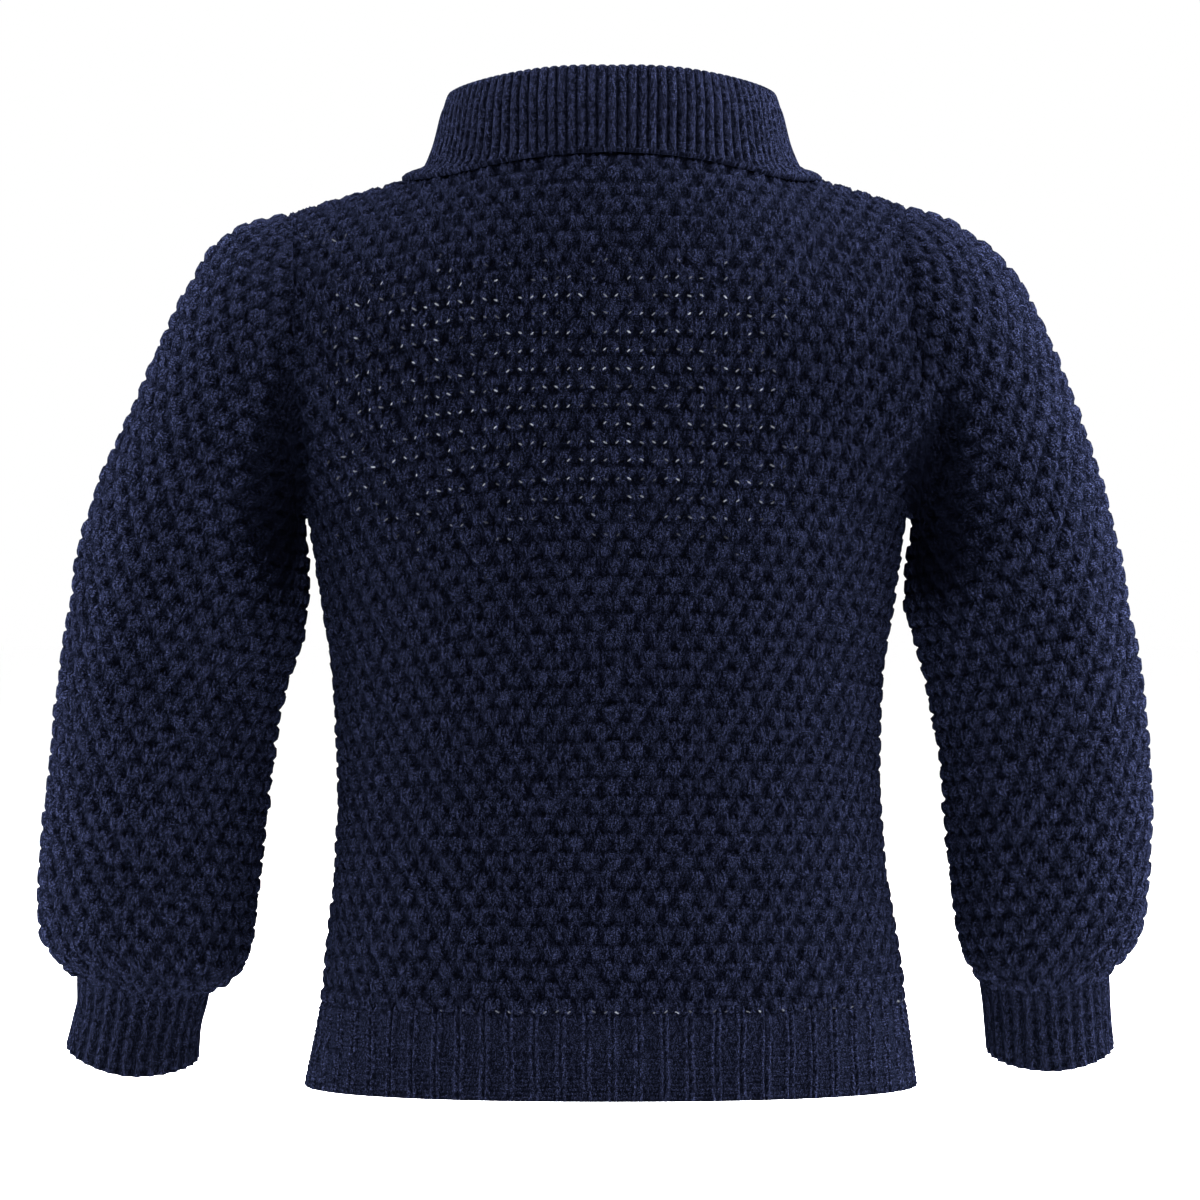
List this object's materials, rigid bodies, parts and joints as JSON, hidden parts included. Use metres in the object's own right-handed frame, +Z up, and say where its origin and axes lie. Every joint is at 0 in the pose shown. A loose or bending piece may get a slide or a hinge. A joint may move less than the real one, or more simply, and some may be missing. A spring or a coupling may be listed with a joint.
{
  "type": "child's cardigan",
  "caption": "Child's collared cardigan in bubble-stitch knit with full-length balloon sleeves, ribbed cuffs, collar and hem, buttoned and filled out as worn.",
  "frame": {"origin": "on the shoulder line, midway between the shoulders, where the wearer carries the garment", "axes": "+Z up; the front faces -Y; +X is the wearer's left"},
  "size_m": [0.4595, 0.1765, 0.4138],
  "materials": {
    "body_knit": "navy wool in bubble stitch, matt, softly fuzzy",
    "sleeve_knit": "navy wool in bubble stitch, matt, softly fuzzy",
    "hem_rib": "navy wool rib with paired raised wales, matt",
    "cuff_rib": "navy wool rib, matt",
    "collar_rib": "navy wool one-by-one rib, matt",
    "band_rib": "navy wool rib, matt",
    "button": "dark navy resin, satin"
  },
  "bodies": {
    "root": {"back": "body_knit", "front_left": "body_knit", "front_right": "body_knit", "sleeve_left": "sleeve_knit", "sleeve_right": "sleeve_knit", "cuff_left": "cuff_rib", "cuff_right": "cuff_rib", "hem_rib_back": "hem_rib", "hem_rib_front_left": "hem_rib", "hem_rib_front_right": "hem_rib", "button_band_left": "band_rib", "button_band_right": "band_rib", "collar": "collar_rib", "button_1": "button", "button_2": "button", "button_3": "button", "button_4": "button", "button_5": "button"}
  },
  "joints": []
}
